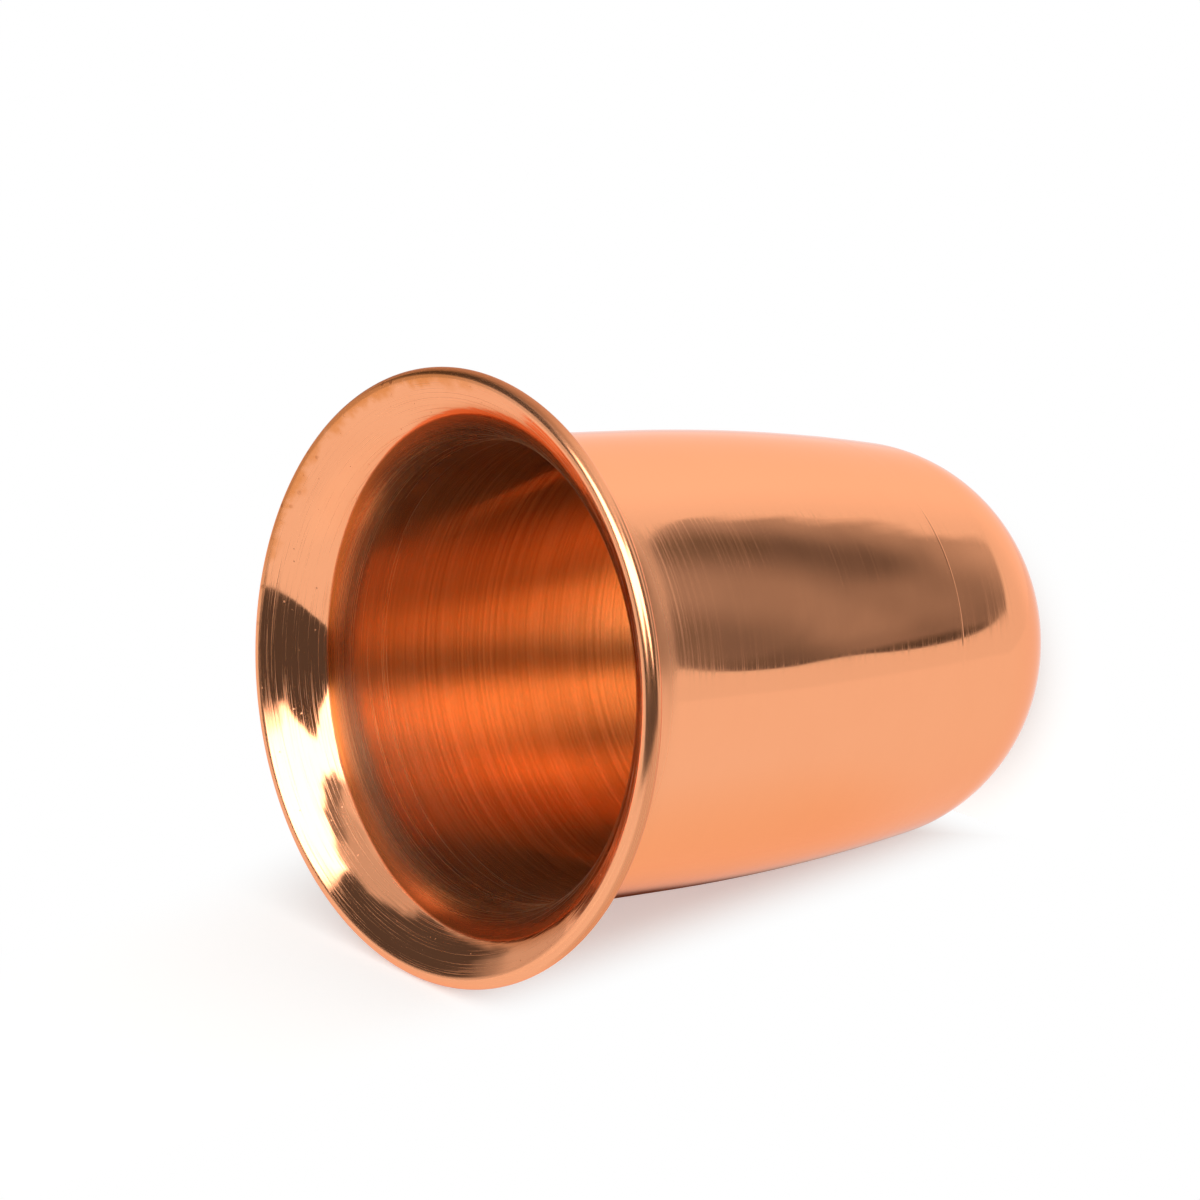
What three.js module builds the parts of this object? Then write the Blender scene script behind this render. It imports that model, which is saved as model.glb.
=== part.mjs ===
// Copper tumbler: a spun body with a flared mouth and a rolled lip, a pressed base and a rim wire.
// Millimetres, +Z up. The origin is the middle of the flat that the tumbler stands on.
import * as THREE from 'three';

// Overall size
const HEIGHT = 96.4;
const BODY_DIAMETER = 62.2;
const SHEET = 0.6;

// Mouth: the throat bend, the flared land beyond it and the lip rolled outwards over a wire
const THROAT_BEND = 12;
const FLARE_ANGLE = THREE.MathUtils.degToRad(60);
const FLARE_LAND = 2;
const LIP_DIAMETER = 2.4;
const LIP_WRAP = THREE.MathUtils.degToRad(285);
const WIRE_CLEARANCE = 0.1;

// Lower body: a long taper arc, the dome and the small corner round the flat base
const TAPER_START = 63.3;
const TAPER_RADIUS = 371;
const DOME_RADIUS = 25.7;
const DOME_CENTRE_HEIGHT = 21.5;
const BASE_CORNER = 5;

// Lap joint between body and base
const SEAM_HEIGHT = 28.9;
const LAP_LENGTH = 4;
const BRAZE_GAP = 0.15;

// Fineness of the round shapes
const TURN_STEPS = 48;
const BEND_STEPS = 6;
const LIP_STEPS = 12;
const WIRE_SIDES = 10;
const TAPER_STEPS = 4;
const DOME_STEPS = 7;
const CORNER_STEPS = 4;

// Sizes that follow from the ones above
const bodyRadius = BODY_DIAMETER / 2;
const lipRadius = LIP_DIAMETER / 2;
const lipHollow = lipRadius - SHEET;
const wireRadius = lipHollow - WIRE_CLEARANCE;
const lapOffset = SHEET + BRAZE_GAP;

// Points of an arc in the half plane (distance from the axis, height)
function arc(centre, radius, from, to, steps) {
  const points = [];
  for (let i = 0; i <= steps; i += 1) {
    const angle = from + ((to - from) * i) / steps;
    const out = centre.x + radius * Math.cos(angle);
    const up = centre.y + radius * Math.sin(angle);
    points.push(new THREE.Vector2(out, up));
  }
  return points;
}

// A closed solid turned from its outline, which goes round anticlockwise
function turned(name, outline, colour, roughness) {
  const geometry = new THREE.LatheGeometry(outline, TURN_STEPS);
  geometry.rotateX(Math.PI / 2);
  const material = new THREE.MeshStandardMaterial({ color: colour, roughness, metalness: 1 });
  const mesh = new THREE.Mesh(geometry, material);
  mesh.name = name;
  return mesh;
}

// Mouth section: the lip's centre sits so that the flared land runs onto the roll without a step
const flareOut = new THREE.Vector2(Math.sin(FLARE_ANGLE), Math.cos(FLARE_ANGLE));
const flareFace = new THREE.Vector2(-Math.cos(FLARE_ANGLE), Math.sin(FLARE_ANGLE));
const throatRadius = bodyRadius - SHEET;
const flareReach = THROAT_BEND * (1 - Math.cos(FLARE_ANGLE)) + FLARE_LAND * flareOut.x;
const lipCentre = new THREE.Vector2(throatRadius + flareReach - lipRadius * flareFace.x, HEIGHT - lipRadius);
const bendEnd = lipCentre.clone().addScaledVector(flareFace, lipRadius).addScaledVector(flareOut, -FLARE_LAND);
const bendCentre = bendEnd.clone().addScaledVector(flareFace, -THROAT_BEND);
const flareTurn = Math.PI - FLARE_ANGLE;
const lipEnd = flareTurn - LIP_WRAP;

// Lower section: the dome meets the taper arc, and the base corner meets the dome, without a kink
const taperCentre = new THREE.Vector2(bodyRadius - TAPER_RADIUS, TAPER_START);
const domeDrop = TAPER_START - DOME_CENTRE_HEIGHT;
const domeReach = Math.sqrt((TAPER_RADIUS - DOME_RADIUS) ** 2 - domeDrop ** 2);
const domeCentre = new THREE.Vector2(taperCentre.x + domeReach, DOME_CENTRE_HEIGHT);
const taperEnd = -Math.asin(domeDrop / (TAPER_RADIUS - DOME_RADIUS));
const cornerDrop = DOME_CENTRE_HEIGHT - BASE_CORNER;
const cornerReach = Math.sqrt((DOME_RADIUS - BASE_CORNER) ** 2 - cornerDrop ** 2);
const cornerCentre = new THREE.Vector2(domeCentre.x + cornerReach, BASE_CORNER);
const domeEnd = -Math.atan2(cornerDrop, cornerReach);
const seamTurn = -Math.asin((TAPER_START - SEAM_HEIGHT) / TAPER_RADIUS);
const lapTurn = LAP_LENGTH / TAPER_RADIUS;
const sheetTurn = SHEET / TAPER_RADIUS;
const seamGapTurn = BRAZE_GAP / TAPER_RADIUS;

// A stretch of the taper arc, moved in from the outside of the wall by a distance
function taper(inset, from, to) {
  return arc(taperCentre, TAPER_RADIUS - inset, from, to, TAPER_STEPS);
}

// Spun body with its rolled lip: up the outside, round the roll and down the inside
function cupBody() {
  const outline = [
    ...taper(0, seamTurn, 0),
    ...arc(bendCentre, THROAT_BEND - SHEET, Math.PI, flareTurn, BEND_STEPS),
    ...arc(lipCentre, lipHollow, flareTurn, lipEnd, LIP_STEPS),
    ...arc(lipCentre, lipRadius, lipEnd, flareTurn, LIP_STEPS),
    ...arc(bendCentre, THROAT_BEND, flareTurn, Math.PI, BEND_STEPS),
    ...taper(SHEET, 0, seamTurn),
  ];
  outline.push(outline[0].clone());
  return turned('cup_body', outline, 0xe8a06f, 0.25);
}

// Pressed base: the flat, the corner and the dome, with a stepped-in edge that laps inside the body
function baseCup() {
  const stepTurn = seamTurn - seamGapTurn;
  const lapTop = seamTurn + lapTurn;
  const outline = [
    new THREE.Vector2(0, 0),
    ...arc(cornerCentre, BASE_CORNER, -Math.PI / 2, domeEnd, CORNER_STEPS),
    ...arc(domeCentre, DOME_RADIUS, domeEnd, taperEnd, DOME_STEPS).slice(1),
    ...taper(0, taperEnd, stepTurn).slice(1),
    ...taper(lapOffset, stepTurn, lapTop),
    ...taper(lapOffset + SHEET, lapTop, stepTurn - sheetTurn),
    ...taper(SHEET, stepTurn - sheetTurn, taperEnd),
    ...arc(domeCentre, DOME_RADIUS - SHEET, taperEnd, domeEnd, DOME_STEPS).slice(1),
    ...arc(cornerCentre, BASE_CORNER - SHEET, domeEnd, -Math.PI / 2, CORNER_STEPS).slice(1),
    new THREE.Vector2(0, SHEET),
  ];
  return turned('base_cup', outline, 0xe09a68, 0.25);
}

// Wire that the lip is rolled over
function rimWire() {
  const outline = arc(lipCentre, wireRadius, 0, 2 * Math.PI, WIRE_SIDES);
  outline[WIRE_SIDES].copy(outline[0]);
  return turned('rim_wire', outline, 0xb87048, 0.45);
}

const tumbler = new THREE.Group();
tumbler.add(cupBody(), baseCup(), rimWire());

export default tumbler;
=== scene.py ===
import math

import bpy
from mathutils import Matrix, Vector


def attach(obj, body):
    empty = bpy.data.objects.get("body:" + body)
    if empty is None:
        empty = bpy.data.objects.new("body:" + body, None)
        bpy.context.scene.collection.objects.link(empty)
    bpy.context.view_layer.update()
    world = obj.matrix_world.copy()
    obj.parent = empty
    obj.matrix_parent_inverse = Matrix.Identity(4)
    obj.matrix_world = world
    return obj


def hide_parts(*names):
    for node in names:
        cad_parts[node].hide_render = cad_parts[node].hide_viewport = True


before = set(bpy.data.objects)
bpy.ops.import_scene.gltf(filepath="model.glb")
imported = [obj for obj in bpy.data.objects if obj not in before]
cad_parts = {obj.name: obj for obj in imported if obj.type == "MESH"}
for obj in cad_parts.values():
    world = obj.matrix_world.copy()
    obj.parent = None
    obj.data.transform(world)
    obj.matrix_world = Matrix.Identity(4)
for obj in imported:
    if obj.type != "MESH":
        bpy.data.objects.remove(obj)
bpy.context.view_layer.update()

MM = 0.001
WHITE = (1, 1, 1, 1)

# Sizes of the tumbler, the same as the solids have
HEIGHT = 96.4 * MM
BODY_RADIUS = 31.1 * MM
SHEET = 0.6 * MM
THROAT_BEND = 12 * MM
FLARE_ANGLE = math.radians(60)
FLARE_LAND = 2 * MM
LIP_RADIUS = 1.2 * MM
LIP_WRAP = math.radians(285)
WIRE_CLEARANCE = 0.1 * MM
TAPER_START = 63.3 * MM
TAPER_RADIUS = 371 * MM
DOME_RADIUS = 25.7 * MM
DOME_CENTRE_HEIGHT = 21.5 * MM
BASE_CORNER = 5 * MM
SEAM_HEIGHT = 28.9 * MM
LAP_LENGTH = 4 * MM
BRAZE_GAP = 0.15 * MM

# Burnished edge at the seam, which only the shells have
SEAM_WIDTH = 0.4 * MM
SEAM_RISE = 0.016 * MM

# Fineness of the turned shells, and the distance within which two points are the same
TURN_STEPS = 240
ARC_STEP = math.radians(2.5)
LONG_STEP = 1.5 * MM
SAME_PLACE = 0.0001 * MM

# Mouth section, in distance from the axis and height
FLARE_OUT = Vector((math.sin(FLARE_ANGLE), math.cos(FLARE_ANGLE)))
FLARE_FACE = Vector((-math.cos(FLARE_ANGLE), math.sin(FLARE_ANGLE)))
FLARE_REACH = THROAT_BEND * (1 - math.cos(FLARE_ANGLE)) + FLARE_LAND * FLARE_OUT.x
LIP_CENTRE = Vector((BODY_RADIUS - SHEET + FLARE_REACH - LIP_RADIUS * FLARE_FACE.x, HEIGHT - LIP_RADIUS))
BEND_CENTRE = LIP_CENTRE + FLARE_FACE * (LIP_RADIUS - THROAT_BEND) - FLARE_OUT * FLARE_LAND
BODY_TOP = BEND_CENTRE.y
FLARE_TURN = math.pi - FLARE_ANGLE
LIP_END = FLARE_TURN - LIP_WRAP
LIP_HOLLOW = LIP_RADIUS - SHEET

# Lower section, in the same way
TAPER_CENTRE = Vector((BODY_RADIUS - TAPER_RADIUS, TAPER_START))
DOME_DROP = TAPER_START - DOME_CENTRE_HEIGHT
DOME_REACH = math.sqrt((TAPER_RADIUS - DOME_RADIUS) ** 2 - DOME_DROP ** 2)
DOME_CENTRE = Vector((TAPER_CENTRE.x + DOME_REACH, DOME_CENTRE_HEIGHT))
TAPER_END = -math.asin(DOME_DROP / (TAPER_RADIUS - DOME_RADIUS))
CORNER_DROP = DOME_CENTRE_HEIGHT - BASE_CORNER
CORNER_REACH = math.sqrt((DOME_RADIUS - BASE_CORNER) ** 2 - CORNER_DROP ** 2)
CORNER_CENTRE = Vector((DOME_CENTRE.x + CORNER_REACH, BASE_CORNER))
DOME_END = -math.atan2(CORNER_DROP, CORNER_REACH)
SEAM_TURN = -math.asin((TAPER_START - SEAM_HEIGHT) / TAPER_RADIUS)
STEP_TURN = SEAM_TURN - BRAZE_GAP / TAPER_RADIUS
STEP_INSIDE_TURN = STEP_TURN - SHEET / TAPER_RADIUS
EDGE_TURN = STEP_TURN + SEAM_WIDTH / TAPER_RADIUS
LAP_TURN = SEAM_TURN + LAP_LENGTH / TAPER_RADIUS
LAP_INSET = SHEET + BRAZE_GAP

# Table that the tumbler lies on in the picture: it touches the lip and the dome
LEAN_SPAN = LIP_CENTRE - DOME_CENTRE
LEAN_OPENING = math.acos((DOME_RADIUS - LIP_RADIUS) / LEAN_SPAN.length)
TABLE_LEAN = LEAN_OPENING - math.atan2(LEAN_SPAN.y, LEAN_SPAN.x)
TABLE_UP = Vector((0, -math.cos(TABLE_LEAN), math.sin(TABLE_LEAN)))
TABLE_POINT = Vector((0, LIP_CENTRE.x, LIP_CENTRE.y)) - LIP_RADIUS * TABLE_UP

# Camera: where it stands, what it looks at, its lens and sensor in millimetres, and the ways that it faces
EYE = Vector((-0.33146, -0.10591, 0.38076))
AIM = Vector((-0.01050, -0.01200, 0.07966))
LENS = 105
SENSOR = 36
CAMERA_FORWARD = (AIM - EYE).normalized()
CAMERA_RIGHT = CAMERA_FORWARD.cross(TABLE_UP).normalized()
CAMERA_UP = CAMERA_RIGHT.cross(CAMERA_FORWARD)
TOWARDS_CAMERA = CAMERA_RIGHT.cross(TABLE_UP)

# Copper's own colour, where it is warmer, brushed or dull, and at a glancing look
COPPER = (0.95, 0.40, 0.20)
COPPER_WARM = (0.88, 0.33, 0.15)
COPPER_BRUSHED = (1.0, 0.64, 0.38)
COPPER_DULL = (0.80, 0.46, 0.24)
COPPER_EDGE = (1.0, 0.74, 0.64)

# Colours: tarnish in spots, also used as painted shade on the lip; tarnish smudged over the mouth; painted
# shade along the crease between polish and brushing, plain and darker
TARNISH_AND_SHADE = (0.42, 0.13, 0.045)
SMUDGE = (0.80, 0.28, 0.09)
PAINTED_CREASE_SHADE = (0.54, 0.14, 0.03)
PAINTED_CREASE_SHADE_DARK = (0.30, 0.09, 0.026)

# Line between the polished mouth and the brushed inside: its height, and the side where it is highest
BRUSH_START = 92.9 * MM
BRUSH_TILT = 3.0 * MM
BRUSH_TOP = 94.7 * MM
BRUSH_BLEND = 0.2 * MM
BRUSH_SIDE = Vector((-0.968, -0.25, 0))

# Painted shade along that line: how far it reaches down and up, its strength, and the way to its darkest
# sides
CREASE_SHADE = 5.4 * MM
THROAT_SHADE_REACH = 1.6 * MM
THROAT_SHADE_SHARE = 0.85
CREASE_SIDE = Vector((0, 1, 0))

# Marks on the lip: a tarnish smudge on one side, a darker outermost edge, painted shade on the lower flank
# on one side, and tarnish specks, with strengths
TARNISH_SIDE = Vector((0.64, -0.77, 0))
SMUDGE_RADIUS = 37.4 * MM
SMUDGE_BLEND = 1.4 * MM
SMUDGE_RAGGEDNESS = 4 * MM
EDGE_SIDE = Vector((0.2, -0.98, 0))
EDGE_RADIUS = 39.4 * MM
EDGE_BLEND = 0.3 * MM
PAINTED_SHADE_SIDE = Vector((-0.95, 0.31, 0))
PAINTED_SHADE_TOP = 96.1 * MM
SPECK_SHARE = 0.7
SPECK_CORE = 0.6
EDGE_SHARE = 0.8
PAINTED_SHADE_SHARE = 0.45

# Satin outside: roughness, what marks add to it, their heights in millimetres, and where the bend blurs
SATIN_ROUGHNESS = 0.06
SATIN_LINES_BLUR = 0.02
SATIN_HAIRS_BLUR = 0.14
SATIN_BEND_BLUR = 0.25
SATIN_LINES_HEIGHT = 0.0009
SATIN_WAVES_HEIGHT = 0.03
BEND_BLUR_START = BODY_TOP - 2 * MM
BEND_BLUR_END = BODY_TOP + 0.5 * MM

# Polished lip, in the same way
LIP_ROUGHNESS = 0.17
LIP_RINGS_BLUR = 0.06
LIP_STAIN_AND_SHADE_BLUR = 0.2
LIP_RINGS_HEIGHT = 0.001
LIP_BLOTCHES_HEIGHT = 0.004

# Mirror polish of the mouth, in the same way
MIRROR_ROUGHNESS = 0.07
MIRROR_HAIRS_BLUR = 0.3
MIRROR_NICKS_BLUR = 0.4
MIRROR_RINGS_HEIGHT = 0.006
MIRROR_HAIRS_HEIGHT = 0.0012
MIRROR_WAVES_HEIGHT = 0.03
MIRROR_NICKS_HEIGHT = -0.01

# Brushed inside: its roughness low down and near the mouth, then in the same way
BRUSHED_HEIGHTS = (50 * MM, 88 * MM)
BRUSHED_ROUGHNESS = (0.21, 0.24)
BRUSHED_STREAKS_BLUR = 0.04
BRUSHED_COARSE_SHARE = 0.4
BRUSHED_FINE_SHARE = 0.6
BRUSHED_COARSE_HEIGHT = 0.001
BRUSHED_FINE_HEIGHT = 0.0004

# Wire in the lip, in the same way
WIRE_ROUGHNESS = 0.35
WIRE_BLOTCHES_BLUR = 0.2
WIRE_BLOTCHES_HEIGHT = 0.004

# How much longer the blur is across the lines that go round, and the quarter turn that lays it across them
SATIN_STRETCH = 0.3
BRUSHED_STRETCH = 0.75
QUARTER_TURN = 0.25

# Brightness of the studio as the metal mirrors it, in shares of white
TENT = 0.92
TENT_LEFT = 0.68
BACKDROP = 1.12
SOFTBOX = 5.0
SOFTBOX_EDGE = 0.3
GAP = 0.1
GAP_RIGHT = 0.15
GAP_LOW = 0.085

# Places in the studio, in degrees: where the backdrop begins, how wavy the edges are, and the arch in front
BACKDROP_START = (120, 150)
WOBBLE = 12.0
ARCH_MIDDLE = 1.0
ARCH_TOP = 37.0
ARCH_SLOPE = 0.62
ARCH_SOFT = 2.0
ARCH_WOBBLE = 0.5
ARCH_FOOT = -16.0

# Light on paper: from behind and from the front, and how much of it is left by way of the copper
PAPER_LIGHT_RANGE = (-0.6, 0.9)
PAPER_LIGHT_BEHIND = 0.35
PAPER_LIGHT_FRONT = 1.6
COPPER_ON_PAPER = 0.38

# Paper: its colour, the colours of painted shade and painted warm light that the metal mirrors, its glow in
# the shadow, and its brightness as the metal mirrors it
PAPER_WHITE = (0.80, 0.785, 0.765)
PAPER_PAINTED_SHADE = (0.28, 0.16, 0.10)
PAPER_PAINTED_WARMTH = (1.0, 0.9, 0.78)
PAPER_GLOW = 0.38
PAPER_SHEEN = 0.98

# Where mirrored paper gets painted shade under the tumbler, and painted copper-warm light round it, each
# fading from 0 to 1
UNDER_FRONT = (-13 * MM, -4 * MM)
UNDER_BACK = (11 * MM, 6 * MM)
WARM_FRONT = (-65 * MM, -25 * MM)
WARM_BACK = (40 * MM, 10 * MM)
WARM_LOW = (5 * MM, 35 * MM)

# Where the shadow on floor and table fades into plain white
FLOOR_SHADOW_CENTRE = Vector((0, 12 * MM, 0))
FLOOR_SHADOW_FADE = (12 * MM, 34 * MM)
TABLE_SHADOW_SHIFT = Vector((6 * MM, 0, 0))
TABLE_SHADOW_FADE = (44 * MM, 58 * MM)
TABLE_SHADOW_END = (14 * MM, 0)
TABLE_SHADOW_FRONT = (-4 * MM, -21 * MM)
TABLE_SHADOW_BACK = (10 * MM, 22 * MM)
TABLE_SHADOW_MOUTH = (BODY_TOP, BODY_TOP - 10 * MM)

# How far the papers reach, from the middle and from where the lip touches the table
PAPER_REACH = 3.0
TABLE_FRONT_LEFT = 0.16
TABLE_FRONT_RIGHT = 0.26
TABLE_LEFT = 0.35
TABLE_RIGHT = 0.30

# Dark card on the right: its place, its direction, its corners in millimetres, and how these are rounded off
FLAG_CENTRE = Vector((0, 0, 45 * MM))
FLAG_DISTANCE = 120 * MM
FLAG_TURN = math.radians(107.7)
FLAG_RISE = math.radians(17.3)
FLAG_CORNERS = [(100, -14), (92, -30), (62, -28), (50, -34), (26, -34), (6, -16), (-16, 10), (-28, 18),
                (-24, 42), (-14, 56), (-30, 84), (4, 88), (44, 64), (76, 34), (96, 4)]
FLAG_ROUNDS = 3
FLAG_CUT = 0.25

# Brightness of the card: fades from one place to another in millimetres, each with the two levels there
FLAG_FADES_ACROSS = [(-12, 14, 0.45, 0.17), (16, 48, 0.0, 0.21), (56, 80, 0.0, -0.16)]
FLAG_END_ACROSS = (22, 40, 0.14, 0.0)
FLAG_END_UP = (5, 25, 1.0, 0.0)
FLAG_LOW_EDGE = (-30, -24, 0.35, 1.0)
FLAG_LOW_SIDE = (-24, -8, 0.8, 1.0)
FLAG_STREAKS = 0.16
FLAG_STREAKS_CLOSE = 0.12
FLAG_STREAKS_DRAWN_OUT = 0.012
FLAG_CLEAR_FADE = (-21, -9)
FLAG_CLEAR_WAVES = 26.0


def rotated(angle):
    """Unit vector in the half plane of distance from the axis and height."""
    return Vector((math.cos(angle), math.sin(angle)))


class Outline:
    """A section to be turned: points, and for each stretch its two end normals and its zone."""

    def __init__(self):
        self.points = []
        self.stretches = []

    def to(self, point, normal_before, normal_after, zone):
        """A stretch from the last point to another, left out where that is the same place."""
        if (point - self.points[-1]).length > SAME_PLACE:
            self.stretches.append((normal_before, normal_after, zone))
            self.points.append(point)

    def line(self, end, zone):
        """A straight stretch to a point. Its outside is on the right of the way that it runs."""
        along = (end - self.points[-1]).normalized()
        normal = Vector((along.y, -along.x))
        self.to(end, normal, normal, zone)

    def arc(self, centre, radius, start, end, zone, inward=False):
        """A round stretch about a centre. The outside of an inward one is towards the centre."""
        first = centre + radius * rotated(start)
        if self.points:
            self.line(first, zone)
        else:
            self.points.append(first)
        sign = -1 if inward else 1
        length = abs(end - start)
        steps = max(2, math.ceil(length / ARC_STEP), math.ceil(length * radius / LONG_STEP))
        for step in range(1, steps + 1):
            before = rotated(start + (end - start) * (step - 1) / steps)
            after = rotated(start + (end - start) * step / steps)
            self.to(centre + radius * after, sign * before, sign * after, zone)

    def swell(self, start, end, rise, zone):
        """A low round swelling between two points, on the right of the way from one to the other."""
        half = (end - start).length / 2
        radius = (half * half + rise * rise) / (2 * rise)
        along = (end - start).normalized()
        outward = Vector((along.y, -along.x))
        middle = math.atan2(outward.y, outward.x)
        spread = math.asin(half / radius)
        centre = (start + end) / 2 + (rise - radius) * outward
        self.arc(centre, radius, middle - spread, middle + spread, zone)

    def closed(self):
        """Whether the outline ends where it starts."""
        return (self.points[0] - self.points[-1]).length < SAME_PLACE

    def distances(self):
        """How far along the outline each point lies."""
        travelled = [0.0]
        for first, second in zip(self.points, self.points[1:]):
            travelled.append(travelled[-1] + (second - first).length)
        return travelled


def around(point, step):
    """A point or normal of the half plane, turned about the axis by some steps."""
    angle = 2 * math.pi * step / TURN_STEPS
    return (point.x * math.cos(angle), point.x * math.sin(angle), point.y)


def turned_rows(outline):
    """Turned points, their distances along the outline, and the numbers of those in each row."""
    points = outline.points[:-1] if outline.closed() else outline.points
    places = []
    along = []
    rows = []
    for point, distance in zip(points, outline.distances()):
        steps = 1 if point.x < SAME_PLACE else TURN_STEPS
        rows.append(range(len(places), len(places) + steps))
        places.extend(around(point, step) for step in range(steps))
        along.extend([distance] * steps)
    if outline.closed():
        rows.append(rows[0])
    return places, along, rows


def turned_faces(outline, rows):
    """Corners of the faces between the rows, the normals at those corners, and the zones of the faces."""
    faces = []
    normals = []
    zones = []
    for low, high, (before, after, zone) in zip(rows, rows[1:], outline.stretches):
        for step in range(TURN_STEPS):
            following = (step + 1) % TURN_STEPS
            corners = {}
            for row, place, normal in ((low, step, before), (low, following, before),
                                       (high, following, after), (high, step, after)):
                corners.setdefault(row[place % len(row)], around(normal, place))
            faces.append(list(corners))
            normals.extend(corners.values())
            zones.append(zone)
    return faces, normals, zones


def turned(name, outline, materials):
    """A piece turned about Z, with exact normals and the way along its outline in an attribute."""
    places, along, rows = turned_rows(outline)
    faces, normals, zones = turned_faces(outline, rows)
    mesh = bpy.data.meshes.new(name)
    mesh.from_pydata(places, [], faces)
    order = list(materials)
    for material in materials.values():
        mesh.materials.append(material)
    mesh.polygons.foreach_set("material_index", [order.index(zone) for zone in zones])
    mesh.polygons.foreach_set("use_smooth", [True] * len(faces))
    attribute = mesh.attributes.new("along", "FLOAT", "POINT")
    attribute.data.foreach_set("value", along)
    mesh.normals_split_custom_set(normals)
    piece = bpy.data.objects.new(name, mesh)
    bpy.context.scene.collection.objects.link(piece)
    return piece


def body_outline():
    """Spun body: up the outside from its burnished edge, round the rolled lip and down the inside."""
    edge = TAPER_CENTRE + TAPER_RADIUS * rotated(STEP_TURN)
    section = Outline()
    section.swell(edge, TAPER_CENTRE + TAPER_RADIUS * rotated(EDGE_TURN), SEAM_RISE, "outside")
    section.arc(TAPER_CENTRE, TAPER_RADIUS, EDGE_TURN, 0, "outside")
    section.line(Vector((BODY_RADIUS, BODY_TOP)), "outside")
    section.arc(BEND_CENTRE, THROAT_BEND - SHEET, math.pi, FLARE_TURN, "outside", inward=True)
    section.line(LIP_CENTRE + LIP_HOLLOW * FLARE_FACE, "outside")
    section.arc(LIP_CENTRE, LIP_HOLLOW, FLARE_TURN, LIP_END, "lip", inward=True)
    section.line(LIP_CENTRE + LIP_RADIUS * rotated(LIP_END), "lip")
    section.arc(LIP_CENTRE, LIP_RADIUS, LIP_END, FLARE_TURN, "lip")
    section.line(LIP_CENTRE + FLARE_FACE * LIP_RADIUS - FLARE_OUT * FLARE_LAND, "inside")
    section.arc(BEND_CENTRE, THROAT_BEND, FLARE_TURN, math.pi, "inside")
    section.line(Vector((BODY_RADIUS - SHEET, TAPER_START)), "inside")
    section.arc(TAPER_CENTRE, TAPER_RADIUS - SHEET, 0, STEP_TURN, "inside", inward=True)
    section.line(section.points[0], "inside")
    return section


def base_outline():
    """Pressed base: out over the flat, up the dome, round the stepped lap and back down the inside."""
    lap_inside = TAPER_RADIUS - LAP_INSET - SHEET
    section = Outline()
    section.points.append(Vector((0, 0)))
    section.line(Vector((CORNER_CENTRE.x, 0)), "outside")
    section.arc(CORNER_CENTRE, BASE_CORNER, -math.pi / 2, DOME_END, "outside")
    section.arc(DOME_CENTRE, DOME_RADIUS, DOME_END, TAPER_END, "outside")
    section.arc(TAPER_CENTRE, TAPER_RADIUS, TAPER_END, STEP_TURN, "outside")
    section.arc(TAPER_CENTRE, TAPER_RADIUS - LAP_INSET, STEP_TURN, LAP_TURN, "inside")
    section.arc(TAPER_CENTRE, lap_inside, LAP_TURN, STEP_INSIDE_TURN, "inside", inward=True)
    section.arc(TAPER_CENTRE, TAPER_RADIUS - SHEET, STEP_INSIDE_TURN, TAPER_END, "inside", inward=True)
    section.arc(DOME_CENTRE, DOME_RADIUS - SHEET, TAPER_END, DOME_END, "inside", inward=True)
    section.arc(CORNER_CENTRE, BASE_CORNER - SHEET, DOME_END, -math.pi / 2, "inside", inward=True)
    section.line(Vector((0, SHEET)), "inside")
    return section


def wire_outline():
    """Wire inside the rolled lip."""
    section = Outline()
    section.arc(LIP_CENTRE, LIP_HOLLOW - WIRE_CLEARANCE, 0, 2 * math.pi, "wire")
    return section


def opaque(colour):
    """A colour with full alpha."""
    return (*colour, 1.0)


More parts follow.
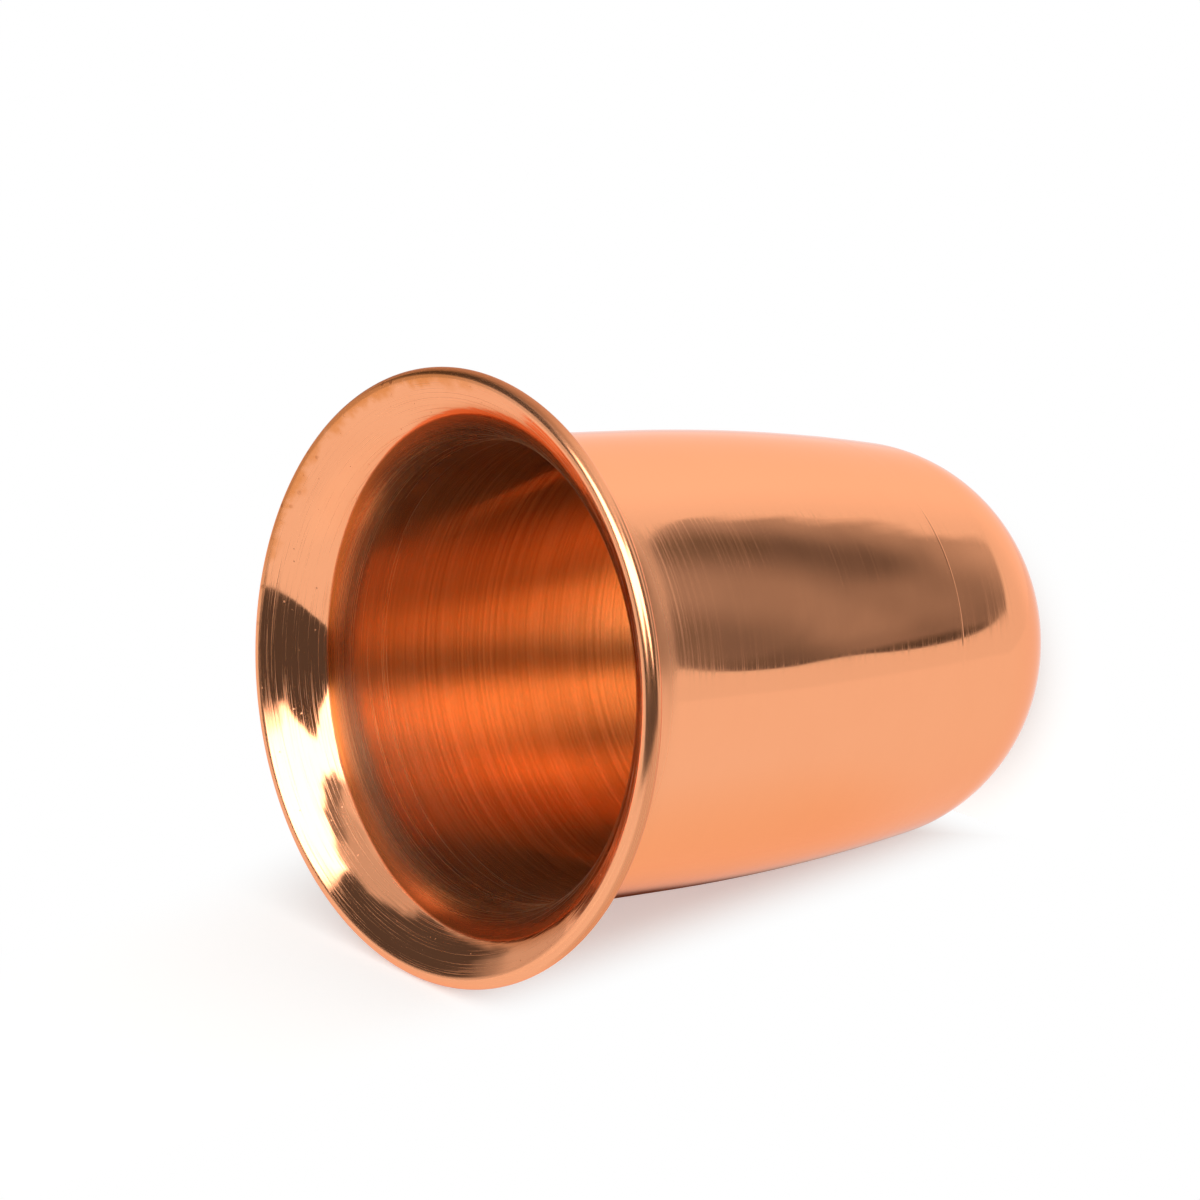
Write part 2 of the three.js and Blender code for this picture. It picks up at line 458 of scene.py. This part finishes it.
class Nodes:
    """Short calls for making shader nodes. Most give back the output that the next node takes."""

    def __init__(self, tree):
        self.tree = tree
        tree.nodes.clear()

    def feed(self, socket, value):
        """Sets a socket to a number or colour, or links another node's output to it."""
        if isinstance(value, bpy.types.NodeSocket):
            self.tree.links.new(value, socket)
        else:
            socket.default_value = value

    def add(self, kind, inputs=None, **settings):
        """A node of a kind, with its settings and inputs."""
        made = self.tree.nodes.new(kind)
        for name, value in settings.items():
            setattr(made, name, value)
        for name, value in (inputs or {}).items():
            self.feed(made.inputs[name], value)
        return made

    def math(self, operation, first, second=0.0):
        """One sum on numbers or outputs."""
        return self.add("ShaderNodeMath", {0: first, 1: second}, operation=operation).outputs[0]

    def total(self, first, *others):
        """The sum of some outputs."""
        for other in others:
            first = self.math("ADD", first, other)
        return first

    def product(self, first, *others):
        """The product of some numbers and outputs."""
        for other in others:
            first = self.math("MULTIPLY", first, other)
        return first

    def weighted(self, base, *terms):
        """A base and some terms, each times its weight."""
        return self.total(base, *(self.product(term, weight) for term, weight in terms))

    def rest(self, share):
        """What a share leaves of 1."""
        return self.math("SUBTRACT", 1.0, share)

    def centred(self, share):
        """A share from 0 to 1 moved to lie about 0."""
        return self.math("SUBTRACT", share, 0.5)

    def vector(self, operation, first, second=(0, 0, 0)):
        """One sum on vectors."""
        made = self.add("ShaderNodeVectorMath", {0: first, 1: second}, operation=operation)
        return made.outputs["Value"] if operation in ("DOT_PRODUCT", "LENGTH") else made.outputs["Vector"]

    def parts(self, vector):
        """The X, Y and Z of a vector, by name."""
        return self.add("ShaderNodeSeparateXYZ", {"Vector": vector}).outputs

    def ramp(self, value, low, high, start=0.0, end=1.0):
        """Goes smoothly from start to end while the value goes from low to high."""
        inputs = {"Value": value, "From Min": low, "From Max": high, "To Min": start, "To Max": end}
        return self.add("ShaderNodeMapRange", inputs, interpolation_type="SMOOTHSTEP").outputs["Result"]

    def rising(self, value, middle, soft):
        """From 0 to 1 round a middle."""
        return self.ramp(value, middle - soft, middle + soft)

    def falling(self, value, middle, soft):
        """From 1 to 0 round a middle."""
        return self.ramp(value, middle - soft, middle + soft, 1.0, 0.0)

    def noise(self, vector, scale, detail=2.0, roughness=0.5):
        """Cloudy noise from 0 to 1."""
        inputs = {"Vector": vector, "Scale": scale, "Detail": detail, "Roughness": roughness}
        return self.add("ShaderNodeTexNoise", inputs).outputs["Fac"]

    def mix(self, factor, first, second):
        """A colour between two others."""
        return self.add("ShaderNodeMix", {0: factor, 6: first, 7: second}, data_type="RGBA").outputs[2]

    def between(self, factor, first, second):
        """A number between two others."""
        return self.add("ShaderNodeMix", {0: factor, 2: first, 3: second}, data_type="FLOAT").outputs[0]

    def glow(self, colour, strength):
        """A shader that gives off light."""
        return self.add("ShaderNodeEmission", {"Color": colour, "Strength": strength}).outputs[0]

    def clear(self):
        """A shader that lets everything through."""
        return self.add("ShaderNodeBsdfTransparent").outputs[0]

    def blend(self, factor, first, second):
        """A shader between two others."""
        return self.add("ShaderNodeMixShader", {0: factor, 1: first, 2: second}).outputs[0]

    def surface(self, shader):
        """Ends a material with its shader."""
        self.add("ShaderNodeOutputMaterial", {"Surface": shader})


def new_material(name):
    """An empty material and the maker of its nodes."""
    material = bpy.data.materials.new(name)
    material.use_nodes = True
    return material, Nodes(material.node_tree)


class Turning:
    """Coordinates of a turned surface: place, spoke from the axis, and millimetres along its outline."""

    def __init__(self, make):
        self.make = make
        self.place = make.add("ShaderNodeTexCoord").outputs["Object"]
        place = make.parts(self.place)
        flat = make.add("ShaderNodeCombineXYZ", {"X": place["X"], "Y": place["Y"]}).outputs[0]
        self.radius = make.vector("LENGTH", flat)
        self.height = place["Z"]
        self.spoke = make.vector("NORMALIZE", flat)
        along = make.add("ShaderNodeAttribute", attribute_name="along").outputs["Fac"]
        self.along = make.product(along, 1 / MM)

    def rings(self, per_millimetre, per_radian, detail):
        """Noise drawn out round the axis, like marks of a tool or of a brush."""
        make = self.make
        spoke = make.parts(self.spoke)
        space = make.add("ShaderNodeCombineXYZ", {
            "X": make.product(spoke["X"], per_radian),
            "Y": make.product(spoke["Y"], per_radian),
            "Z": make.product(self.along, per_millimetre)})
        return make.noise(space.outputs[0], scale=1.0, detail=detail, roughness=0.6)

    def facing(self, side, low, high):
        """1 on the side of the tumbler that faces a direction, 0 on the other."""
        return self.make.ramp(self.make.vector("DOT_PRODUCT", self.spoke, side), low, high)

    def blotches(self):
        """Small cloudy blotches."""
        return self.make.noise(self.place, scale=260.0, detail=3.0, roughness=0.6)

    def smudge(self, blotches):
        """Tarnish that creeps in from the edge of the mouth on one side, more where blotches are high."""
        make = self.make
        reach = make.weighted(self.radius, (make.centred(blotches), SMUDGE_RAGGEDNESS))
        inward = make.ramp(reach, SMUDGE_RADIUS, SMUDGE_RADIUS + SMUDGE_BLEND)
        return make.product(self.facing(TARNISH_SIDE, low=0.6, high=0.9), inward)

    def specks(self, per_metre, size, share):
        """Small round dots in some of the cells that the surface is cut up into."""
        make = self.make
        cells = make.add("ShaderNodeTexVoronoi", {"Vector": self.place, "Scale": per_metre}).outputs
        chosen = make.add("ShaderNodeSeparateColor", {"Color": cells["Color"]}).outputs["Red"]
        dots = make.ramp(cells["Distance"], SPECK_CORE * size, size, 1.0, 0.0)
        return make.product(dots, make.math("LESS_THAN", chosen, share))

    def spots(self):
        """Dark spots of tarnish."""
        return self.specks(per_metre=700.0, size=0.28, share=0.4)


def finish(make, colour, roughness, stretch, height):
    """Bare metal whose blur runs across the lines that go round the axis. The height is in millimetres."""
    bump = make.add("ShaderNodeBump", {"Height": height, "Strength": 1.0, "Distance": MM})
    tangent = make.add("ShaderNodeTangent", direction_type="RADIAL", axis="Z")
    shader = make.add("ShaderNodeBsdfPrincipled", {
        "Base Color": colour, "Metallic": 1.0, "Roughness": roughness, "Anisotropic": stretch,
        "Anisotropic Rotation": QUARTER_TURN, "Specular Tint": opaque(COPPER_EDGE),
        "Normal": bump.outputs["Normal"], "Tangent": tangent.outputs["Tangent"]})
    make.surface(shader.outputs["BSDF"])


def satin_outside():
    """Outside of the body: satin polish, faint lines round it, slight waves left by the spinning."""
    material, make = new_material("copper_outside")
    turning = Turning(make)
    lines = turning.rings(per_millimetre=6.0, per_radian=1.5, detail=3.0)
    waves = make.noise(turning.place, scale=70.0, detail=1.0)
    cloud = make.noise(turning.place, scale=60.0, detail=4.0, roughness=0.55)
    bend = make.ramp(turning.height, BEND_BLUR_START, BEND_BLUR_END)
    scratches = turning.rings(per_millimetre=6.0, per_radian=0.9, detail=3.0)
    hairs = make.product(make.ramp(scratches, low=0.45, high=0.75), make.rest(bend))
    warmth = make.ramp(cloud, low=0.35, high=0.75, end=0.12)
    colour = make.mix(warmth, opaque(COPPER), opaque(COPPER_WARM))
    roughness = make.weighted(SATIN_ROUGHNESS, (lines, SATIN_LINES_BLUR), (hairs, SATIN_HAIRS_BLUR),
                              (bend, SATIN_BEND_BLUR))
    height = make.weighted(0.0, (lines, SATIN_LINES_HEIGHT), (waves, SATIN_WAVES_HEIGHT))
    finish(make, colour, roughness, SATIN_STRETCH, height)
    return material


def lip_stain_and_shade(make, turning):
    """Dark places on the lip: tarnish spots on one side, a darker outermost edge, and painted shade on the
    lower flank.
    """
    spots = make.product(turning.spots(), turning.facing(TARNISH_SIDE, low=0.5, high=0.8))
    edge = make.product(turning.facing(EDGE_SIDE, low=0.6, high=0.9),
                        make.ramp(turning.radius, EDGE_RADIUS, EDGE_RADIUS + EDGE_BLEND))
    # Painted shade on the lower flank of the lip, on one side
    flank = make.product(turning.facing(PAINTED_SHADE_SIDE, low=0.8, high=0.95),
                         make.ramp(turning.height, PAINTED_SHADE_TOP, PAINTED_SHADE_TOP - EDGE_BLEND))
    edge = make.math("MAXIMUM", edge, make.product(flank, PAINTED_SHADE_SHARE))
    return make.math("MAXIMUM", make.product(spots, SPECK_SHARE), make.product(edge, EDGE_SHARE))


def polished_lip():
    """Rolled lip: polished, smudged with tarnish on one side, with tarnish spots, a darker edge and painted
    shade.
    """
    material, make = new_material("copper_lip")
    turning = Turning(make)
    rings = turning.rings(per_millimetre=4.0, per_radian=2.0, detail=2.0)
    blotches = turning.blotches()
    stain_and_shade = lip_stain_and_shade(make, turning)
    smudged = make.mix(turning.smudge(blotches), opaque(COPPER), opaque(SMUDGE))
    colour = make.mix(stain_and_shade, smudged, opaque(TARNISH_AND_SHADE))
    roughness = make.weighted(LIP_ROUGHNESS, (rings, LIP_RINGS_BLUR), (stain_and_shade, LIP_STAIN_AND_SHADE_BLUR))
    height = make.weighted(0.0, (rings, LIP_RINGS_HEIGHT), (blotches, LIP_BLOTCHES_HEIGHT))
    finish(make, colour, roughness, SATIN_STRETCH, height)
    return material


def below_brush_line(make, turning):
    """How far a place lies below the line where the brushing starts, which is tilted and has a top."""
    side = make.vector("DOT_PRODUCT", turning.spoke, BRUSH_SIDE)
    start = make.math("MINIMUM", make.weighted(BRUSH_START, (side, BRUSH_TILT)), BRUSH_TOP)
    return make.math("SUBTRACT", start, turning.height)


def mirror_colour(make, turning, below):
    """Colour of the flared mouth: clouded, smudged and spotted on one side, with painted shade along the
    throat.
    """
    cloud = make.noise(turning.place, scale=90.0, detail=4.0, roughness=0.55)
    smudge = turning.smudge(turning.blotches())
    spots = make.product(turning.spots(), smudge)
    # Painted shade just above the brush line, on the side where that line is highest
    throat = make.product(turning.facing(BRUSH_SIDE, low=-0.3, high=0.4),
                          make.ramp(below, -THROAT_SHADE_REACH, 0.0, 0.0, THROAT_SHADE_SHARE))
    warmth = make.ramp(cloud, low=0.4, high=0.75, end=0.2)
    clean = make.mix(warmth, opaque(COPPER), opaque(COPPER_WARM))
    smudged = make.mix(smudge, clean, opaque(SMUDGE))
    spotted = make.mix(make.product(spots, SPECK_SHARE), smudged, opaque(TARNISH_AND_SHADE))
    return make.mix(throat, spotted, opaque(PAINTED_CREASE_SHADE))


def mirror_polish(make, turning, polished):
    """Roughness and height of the flared mouth: hairlines, nicks, rings and slight dents."""
    rings = turning.rings(per_millimetre=2.2, per_radian=1.2, detail=2.0)
    scratches = turning.rings(per_millimetre=10.0, per_radian=2.5, detail=1.0)
    hairs = make.product(make.ramp(scratches, low=0.53, high=0.72), polished)
    nicks = make.product(turning.specks(per_metre=900.0, size=0.12, share=0.25), polished)
    waves = make.noise(turning.place, scale=110.0)
    roughness = make.weighted(MIRROR_ROUGHNESS, (hairs, MIRROR_HAIRS_BLUR), (nicks, MIRROR_NICKS_BLUR))
    height = make.weighted(0.0, (rings, MIRROR_RINGS_HEIGHT), (hairs, MIRROR_HAIRS_HEIGHT),
                           (waves, MIRROR_WAVES_HEIGHT), (nicks, MIRROR_NICKS_HEIGHT))
    return roughness, height


def brushing(make, turning, below):
    """Colour, roughness and height of the inside: streaks round and round, painted shade along the mouth."""
    coarse = turning.rings(per_millimetre=2.6, per_radian=0.4, detail=1.0)
    fine = turning.rings(per_millimetre=7.0, per_radian=0.4, detail=2.0)
    both = make.weighted(0.0, (coarse, BRUSHED_COARSE_SHARE), (fine, BRUSHED_FINE_SHARE))
    streaks = make.ramp(both, low=0.33, high=0.67)
    # Painted shade just below the brush line, darkest on two opposite sides
    crease = make.ramp(below, 0.0, CREASE_SHADE, 1.0, 0.0)
    darker = make.math("ABSOLUTE", make.vector("DOT_PRODUCT", turning.spoke, CREASE_SIDE))
    crease_colour = make.mix(make.ramp(darker, low=0.35, high=0.85), opaque(PAINTED_CREASE_SHADE), opaque(PAINTED_CREASE_SHADE_DARK))
    clean = make.mix(streaks, opaque(COPPER_DULL), opaque(COPPER_BRUSHED))
    colour = make.mix(crease, clean, crease_colour)
    plain = make.ramp(turning.height, *BRUSHED_HEIGHTS, *BRUSHED_ROUGHNESS)
    roughness = make.weighted(plain, (streaks, BRUSHED_STREAKS_BLUR))
    height = make.weighted(0.0, (coarse, BRUSHED_COARSE_HEIGHT), (fine, BRUSHED_FINE_HEIGHT))
    return colour, roughness, height


def mouth_and_inside():
    """Mirror polish on the flared mouth, and brushed lines further in."""
    material, make = new_material("copper_inside")
    turning = Turning(make)
    below = below_brush_line(make, turning)
    brushed = make.ramp(below, -BRUSH_BLEND, BRUSH_BLEND)
    polished = make.rest(brushed)
    mouth_roughness, mouth_height = mirror_polish(make, turning, polished)
    inside_colour, inside_roughness, inside_height = brushing(make, turning, below)
    colour = make.mix(brushed, mirror_colour(make, turning, below), inside_colour)
    roughness = make.weighted(0.0, (mouth_roughness, polished), (inside_roughness, brushed))
    height = make.weighted(0.0, (mouth_height, polished), (inside_height, brushed))
    finish(make, colour, roughness, BRUSHED_STRETCH, height)
    return material


def dull_wire():
    """Drawn wire, dull from the rolling."""
    material, make = new_material("copper_wire")
    turning = Turning(make)
    blotches = make.noise(turning.place, scale=400.0, detail=3.0, roughness=0.6)
    colour = make.mix(blotches, opaque(COPPER_WARM), opaque(TARNISH_AND_SHADE))
    roughness = make.weighted(WIRE_ROUGHNESS, (blotches, WIRE_BLOTCHES_BLUR))
    finish(make, colour, roughness, 0.0, make.product(blotches, WIRE_BLOTCHES_HEIGHT))
    return material


class Studio:
    """Pale surroundings by direction: degrees right of the camera, and degrees above the table."""

    def __init__(self, tree):
        make = Nodes(tree)
        ray = make.add("ShaderNodeTexCoord").outputs["Generated"]
        rightness = make.vector("DOT_PRODUCT", ray, CAMERA_RIGHT)
        self.make = make
        self.frontness = make.vector("DOT_PRODUCT", ray, TOWARDS_CAMERA)
        self.sideways = make.math("DEGREES", make.math("ARCTAN2", rightness, self.frontness))
        self.above = make.math("DEGREES", make.math("ARCSINE", make.vector("DOT_PRODUCT", ray, TABLE_UP)))
        self.wobble = make.product(make.centred(make.noise(ray, scale=6.0)), WOBBLE)
        self.level = make.ramp(self.sideways, *BACKDROP_START, TENT, BACKDROP)

    def lay(self, level, share):
        """Lays another brightness over what is there, by a share from 0 to 1."""
        difference = self.make.math("SUBTRACT", level, self.level)
        self.level = self.make.weighted(self.level, (share, difference))

    def patch(self, level, left, right, low, high, soft, low_soft=2.0):
        """Lays on a region of another brightness. Its lower edge is straight and the others are wavy."""
        make = self.make
        sideways = make.total(self.sideways, self.wobble)
        above = make.total(self.above, self.wobble)
        self.lay(level, make.product(
            make.rising(sideways, left, soft), make.falling(sideways, right, soft),
            make.rising(self.above, low, low_soft), make.falling(above, high, soft)))

    def front_arch(self):
        """Dark arch round the camera, cut out of the softbox."""
        make = self.make
        aside = make.math("ABSOLUTE", make.math("SUBTRACT", self.sideways, ARCH_MIDDLE))
        top = make.weighted(ARCH_TOP, (aside, -ARCH_SLOPE))
        over = make.math("SUBTRACT", make.weighted(self.above, (self.wobble, ARCH_WOBBLE)), top)
        self.lay(GAP, make.product(make.falling(over, 0.0, ARCH_SOFT),
                                   make.rising(self.above, ARCH_FOOT, ARCH_SOFT)))

    def show(self):
        """Ends the shader: the camera sees plain white, and paper is lit softly, mostly from the front."""
        make = self.make
        path = make.add("ShaderNodeLightPath").outputs
        on_paper = make.math("GREATER_THAN", path["Diffuse Depth"], 0.5)
        by_copper = make.ramp(path["Is Glossy Ray"], 0.0, 1.0, 1.0, COPPER_ON_PAPER)
        soft = make.ramp(self.frontness, *PAPER_LIGHT_RANGE, PAPER_LIGHT_BEHIND, PAPER_LIGHT_FRONT)
        level = make.between(on_paper, self.level, make.product(soft, by_copper))
        strength = make.between(path["Is Camera Ray"], level, 1.0)
        shader = make.add("ShaderNodeBackground", {"Color": WHITE, "Strength": strength})
        make.add("ShaderNodeOutputWorld", {"Surface": shader.outputs["Background"]})


def light_studio():
    """A pale tent with a softbox in front and darker gaps round it."""
    world = bpy.data.worlds.new("studio")
    world.use_nodes = True
    world.cycles.sampling_method = "NONE"
    bpy.context.scene.world = world
    studio = Studio(world.node_tree)
    studio.patch(TENT_LEFT, left=-140, right=0, low=52, high=84, soft=8.0, low_soft=6.0)
    studio.patch(GAP, left=-135, right=-68, low=10, high=52, soft=5.0)
    studio.patch(SOFTBOX_EDGE, left=-50, right=-2, low=48, high=60, soft=5.0)
    studio.patch(SOFTBOX, left=-70, right=0, low=12, high=48, soft=2.5)
    studio.patch(SOFTBOX, left=-4, right=36, low=12, high=56, soft=2.5)
    studio.patch(SOFTBOX_EDGE, left=-50, right=14, low=51, high=62, soft=3.0)
    studio.patch(GAP_RIGHT, left=38, right=82, low=10, high=58, soft=4.0)
    studio.patch(GAP_LOW, left=-78, right=72, low=-16, high=16, soft=2.0)
    studio.patch(TENT_LEFT, left=-165, right=-92, low=-14, high=12, soft=6.0)
    studio.front_arch()
    studio.show()


def from_middle(make, position):
    """0 on the floor close to the middle and 1 further out."""
    aside = make.vector("LENGTH", make.vector("SUBTRACT", position, FLOOR_SHADOW_CENTRE))
    return make.ramp(aside, *FLOOR_SHADOW_FADE)


def from_tumbler(make, position):
    """0 on the table close to the lying tumbler and 1 further out."""
    place = make.parts(position)
    shifted = make.vector("SUBTRACT", position, TABLE_SHADOW_SHIFT)
    aside = make.vector("LENGTH", make.vector("MULTIPLY", shifted, (1, 1, 0)))
    beside = make.ramp(aside, *TABLE_SHADOW_FADE)
    beyond = make.ramp(place["Z"], *TABLE_SHADOW_END)
    in_front = make.ramp(place["X"], *TABLE_SHADOW_FRONT)
    behind = make.product(make.ramp(place["X"], *TABLE_SHADOW_BACK),
                          make.ramp(place["Z"], *TABLE_SHADOW_MOUTH))
    return make.math("MAXIMUM", make.math("MAXIMUM", beside, beyond), make.math("MAXIMUM", in_front, behind))


def seen_share(make, path):
    """1 where a ray shows the paper straight or mirrored, and less where copper throws light on paper."""
    seen = make.math("MAXIMUM", path["Is Camera Ray"], path["Is Glossy Ray"])
    seen = make.math("MAXIMUM", seen, path["Is Transmission Ray"])
    return make.product(seen, make.ramp(path["Diffuse Depth"], 0.0, 1.0, 1.0, COPPER_ON_PAPER))


def mirrored_shares(make, path, position):
    """Shares of painted shade and of painted warm light on paper as the metal mirrors it."""
    place = make.parts(position)
    not_from_paper = make.math("LESS_THAN", path["Diffuse Depth"], 0.5)
    mirrored = make.product(path["Is Glossy Ray"], not_from_paper, make.ramp(place["Z"], HEIGHT, BODY_TOP))
    under = make.product(mirrored, make.ramp(place["X"], *UNDER_FRONT), make.ramp(place["X"], *UNDER_BACK))
    warmed = make.product(mirrored, make.ramp(place["X"], *WARM_FRONT), make.ramp(place["X"], *WARM_BACK),
                          make.ramp(place["Z"], *WARM_LOW))
    return under, warmed


def paper(name, distance):
    """White paper that keeps the shadow close to the tumbler. Its back is clear."""
    material, make = new_material(name)
    path = make.add("ShaderNodeLightPath").outputs
    geometry = make.add("ShaderNodeNewGeometry").outputs
    seen = seen_share(make, path)
    under, warmed = mirrored_shares(make, path, geometry["Position"])
    tint = make.mix(under, opaque(PAPER_WHITE), opaque(PAPER_PAINTED_SHADE))
    lit = make.add("ShaderNodeBsdfDiffuse", {"Color": tint}).outputs[0]
    glow = make.glow(WHITE, make.product(seen, make.ramp(under, 0.0, 1.0, PAPER_GLOW, 0.0)))
    shadowed = make.add("ShaderNodeAddShader", {0: lit, 1: glow}).outputs[0]
    sheen = make.ramp(path["Is Glossy Ray"], 0.0, 1.0, 1.0, PAPER_SHEEN)
    plain = make.glow(make.mix(warmed, WHITE, opaque(PAPER_PAINTED_WARMTH)), make.product(seen, sheen))
    front = make.blend(distance(make, geometry["Position"]), shadowed, plain)
    make.surface(make.blend(geometry["Backfacing"], front, make.clear()))
    return material


def flag_level(make, across, up):
    """Brightness of the card: a dark band near its far end, streaks, and a darker lower side."""
    streak_space = make.add("ShaderNodeCombineXYZ", {
        "X": make.product(make.total(across, up), FLAG_STREAKS_CLOSE),
        "Y": make.product(make.math("SUBTRACT", across, up), FLAG_STREAKS_DRAWN_OUT)})
    streaks = make.noise(streak_space.outputs[0], scale=1.0, detail=3.0)
    bands = [make.ramp(across, *fade) for fade in FLAG_FADES_ACROSS]
    end = make.product(make.ramp(across, *FLAG_END_ACROSS), make.ramp(up, *FLAG_END_UP))
    level = make.weighted(make.total(*bands, end), (make.centred(streaks), FLAG_STREAKS))
    return make.product(level, make.ramp(up, *FLAG_LOW_EDGE), make.ramp(up, *FLAG_LOW_SIDE))


def flag_card():
    """Dull card, clear towards its far end."""
    material, make = new_material("flag_card")
    place = make.add("ShaderNodeTexCoord").outputs["Object"]
    millimetres = make.parts(make.vector("MULTIPLY", place, (1 / MM, 1 / MM, 1 / MM)))
    across = millimetres["X"]
    waves = make.centred(make.noise(place, scale=60.0, detail=3.0))
    solid = make.ramp(make.weighted(across, (waves, FLAG_CLEAR_WAVES)), *FLAG_CLEAR_FADE)
    card = make.glow(WHITE, flag_level(make, across, millimetres["Y"]))
    make.surface(make.blend(solid, make.clear(), card))
    return material


def rounded_off(points, rounds):
    """A closed outline with its corners cut off again and again."""
    for _ in range(rounds):
        cut = []
        for first, second in zip(points, points[1:] + points[:1]):
            cut.append(first.lerp(second, FLAG_CUT))
            cut.append(first.lerp(second, 1 - FLAG_CUT))
        points = cut
    return points


def placed(origin, across, up, back):
    """Where an object stands whose own axes point across, up and back."""
    return Matrix.Translation(origin) @ Matrix((across, up, back)).transposed().to_4x4()


def flat_stage(name, corners, material):
    """A flat stage piece. Only the tumbler casts shadows on it."""
    mesh = bpy.data.meshes.new(name)
    mesh.from_pydata(corners, [], [list(range(len(corners)))])
    mesh.materials.append(material)
    piece = bpy.data.objects.new(name, mesh)
    bpy.context.scene.collection.objects.link(piece)
    piece.visible_diffuse = False
    piece.visible_shadow = False
    return piece


def lay_floor():
    """Floor for the tumbler standing up. The metal mirrors the studio instead."""
    across = Vector((PAPER_REACH, 0, 0))
    deep = Vector((0, PAPER_REACH, 0))
    corners = [-across - deep, across - deep, across + deep, deep - across]
    floor = flat_stage("floor", corners, paper("floor_paper", from_middle))
    floor.visible_glossy = False


def lay_table():
    """Table that the tumbler lies on in the picture."""
    left = TABLE_POINT - TABLE_LEFT * CAMERA_RIGHT
    right = TABLE_POINT + TABLE_RIGHT * CAMERA_RIGHT
    back = -PAPER_REACH * TOWARDS_CAMERA
    corners = [left + TABLE_FRONT_LEFT * TOWARDS_CAMERA, right + TABLE_FRONT_RIGHT * TOWARDS_CAMERA,
               right + back, left + back]
    flat_stage("table", corners, paper("table_paper", from_tumbler))


def hang_flag():
    """Card on the right that the body mirrors as a dark patch: it shows only in reflections."""
    sideways = math.cos(FLAG_TURN) * TOWARDS_CAMERA + math.sin(FLAG_TURN) * CAMERA_RIGHT
    way = math.cos(FLAG_RISE) * sideways + math.sin(FLAG_RISE) * TABLE_UP
    across = way.cross(TABLE_UP).normalized()
    up = across.cross(way)
    outline = rounded_off([Vector((u, v, 0)) * MM for u, v in FLAG_CORNERS], FLAG_ROUNDS)
    flag = flat_stage("flag", outline, flag_card())
    flag.matrix_world = placed(FLAG_CENTRE + FLAG_DISTANCE * way, across, up, -way)
    flag.visible_camera = False
    flag.visible_transmission = False


def set_camera():
    """Camera at the photograph's viewing angle."""
    data = bpy.data.cameras.new("camera")
    data.lens = LENS
    data.sensor_width = SENSOR
    camera = bpy.data.objects.new("camera", data)
    camera.matrix_world = placed(EYE, CAMERA_RIGHT, CAMERA_UP, -CAMERA_FORWARD)
    bpy.context.scene.collection.objects.link(camera)
    bpy.context.scene.camera = camera


OUTSIDE = satin_outside()
INSIDE = mouth_and_inside()

body = turned("body_shell", body_outline(), {"outside": OUTSIDE, "lip": polished_lip(), "inside": INSIDE})
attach(body, "root")
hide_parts("cup_body")

base = turned("base_shell", base_outline(), {"outside": OUTSIDE, "inside": INSIDE})
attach(base, "root")
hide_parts("base_cup")

wire = turned("lip_wire", wire_outline(), {"wire": dull_wire()})
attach(wire, "root")
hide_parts("rim_wire")

set_camera()
light_studio()
lay_floor()
lay_table()
hang_flag()

bpy.context.scene.view_settings.view_transform = "Standard"
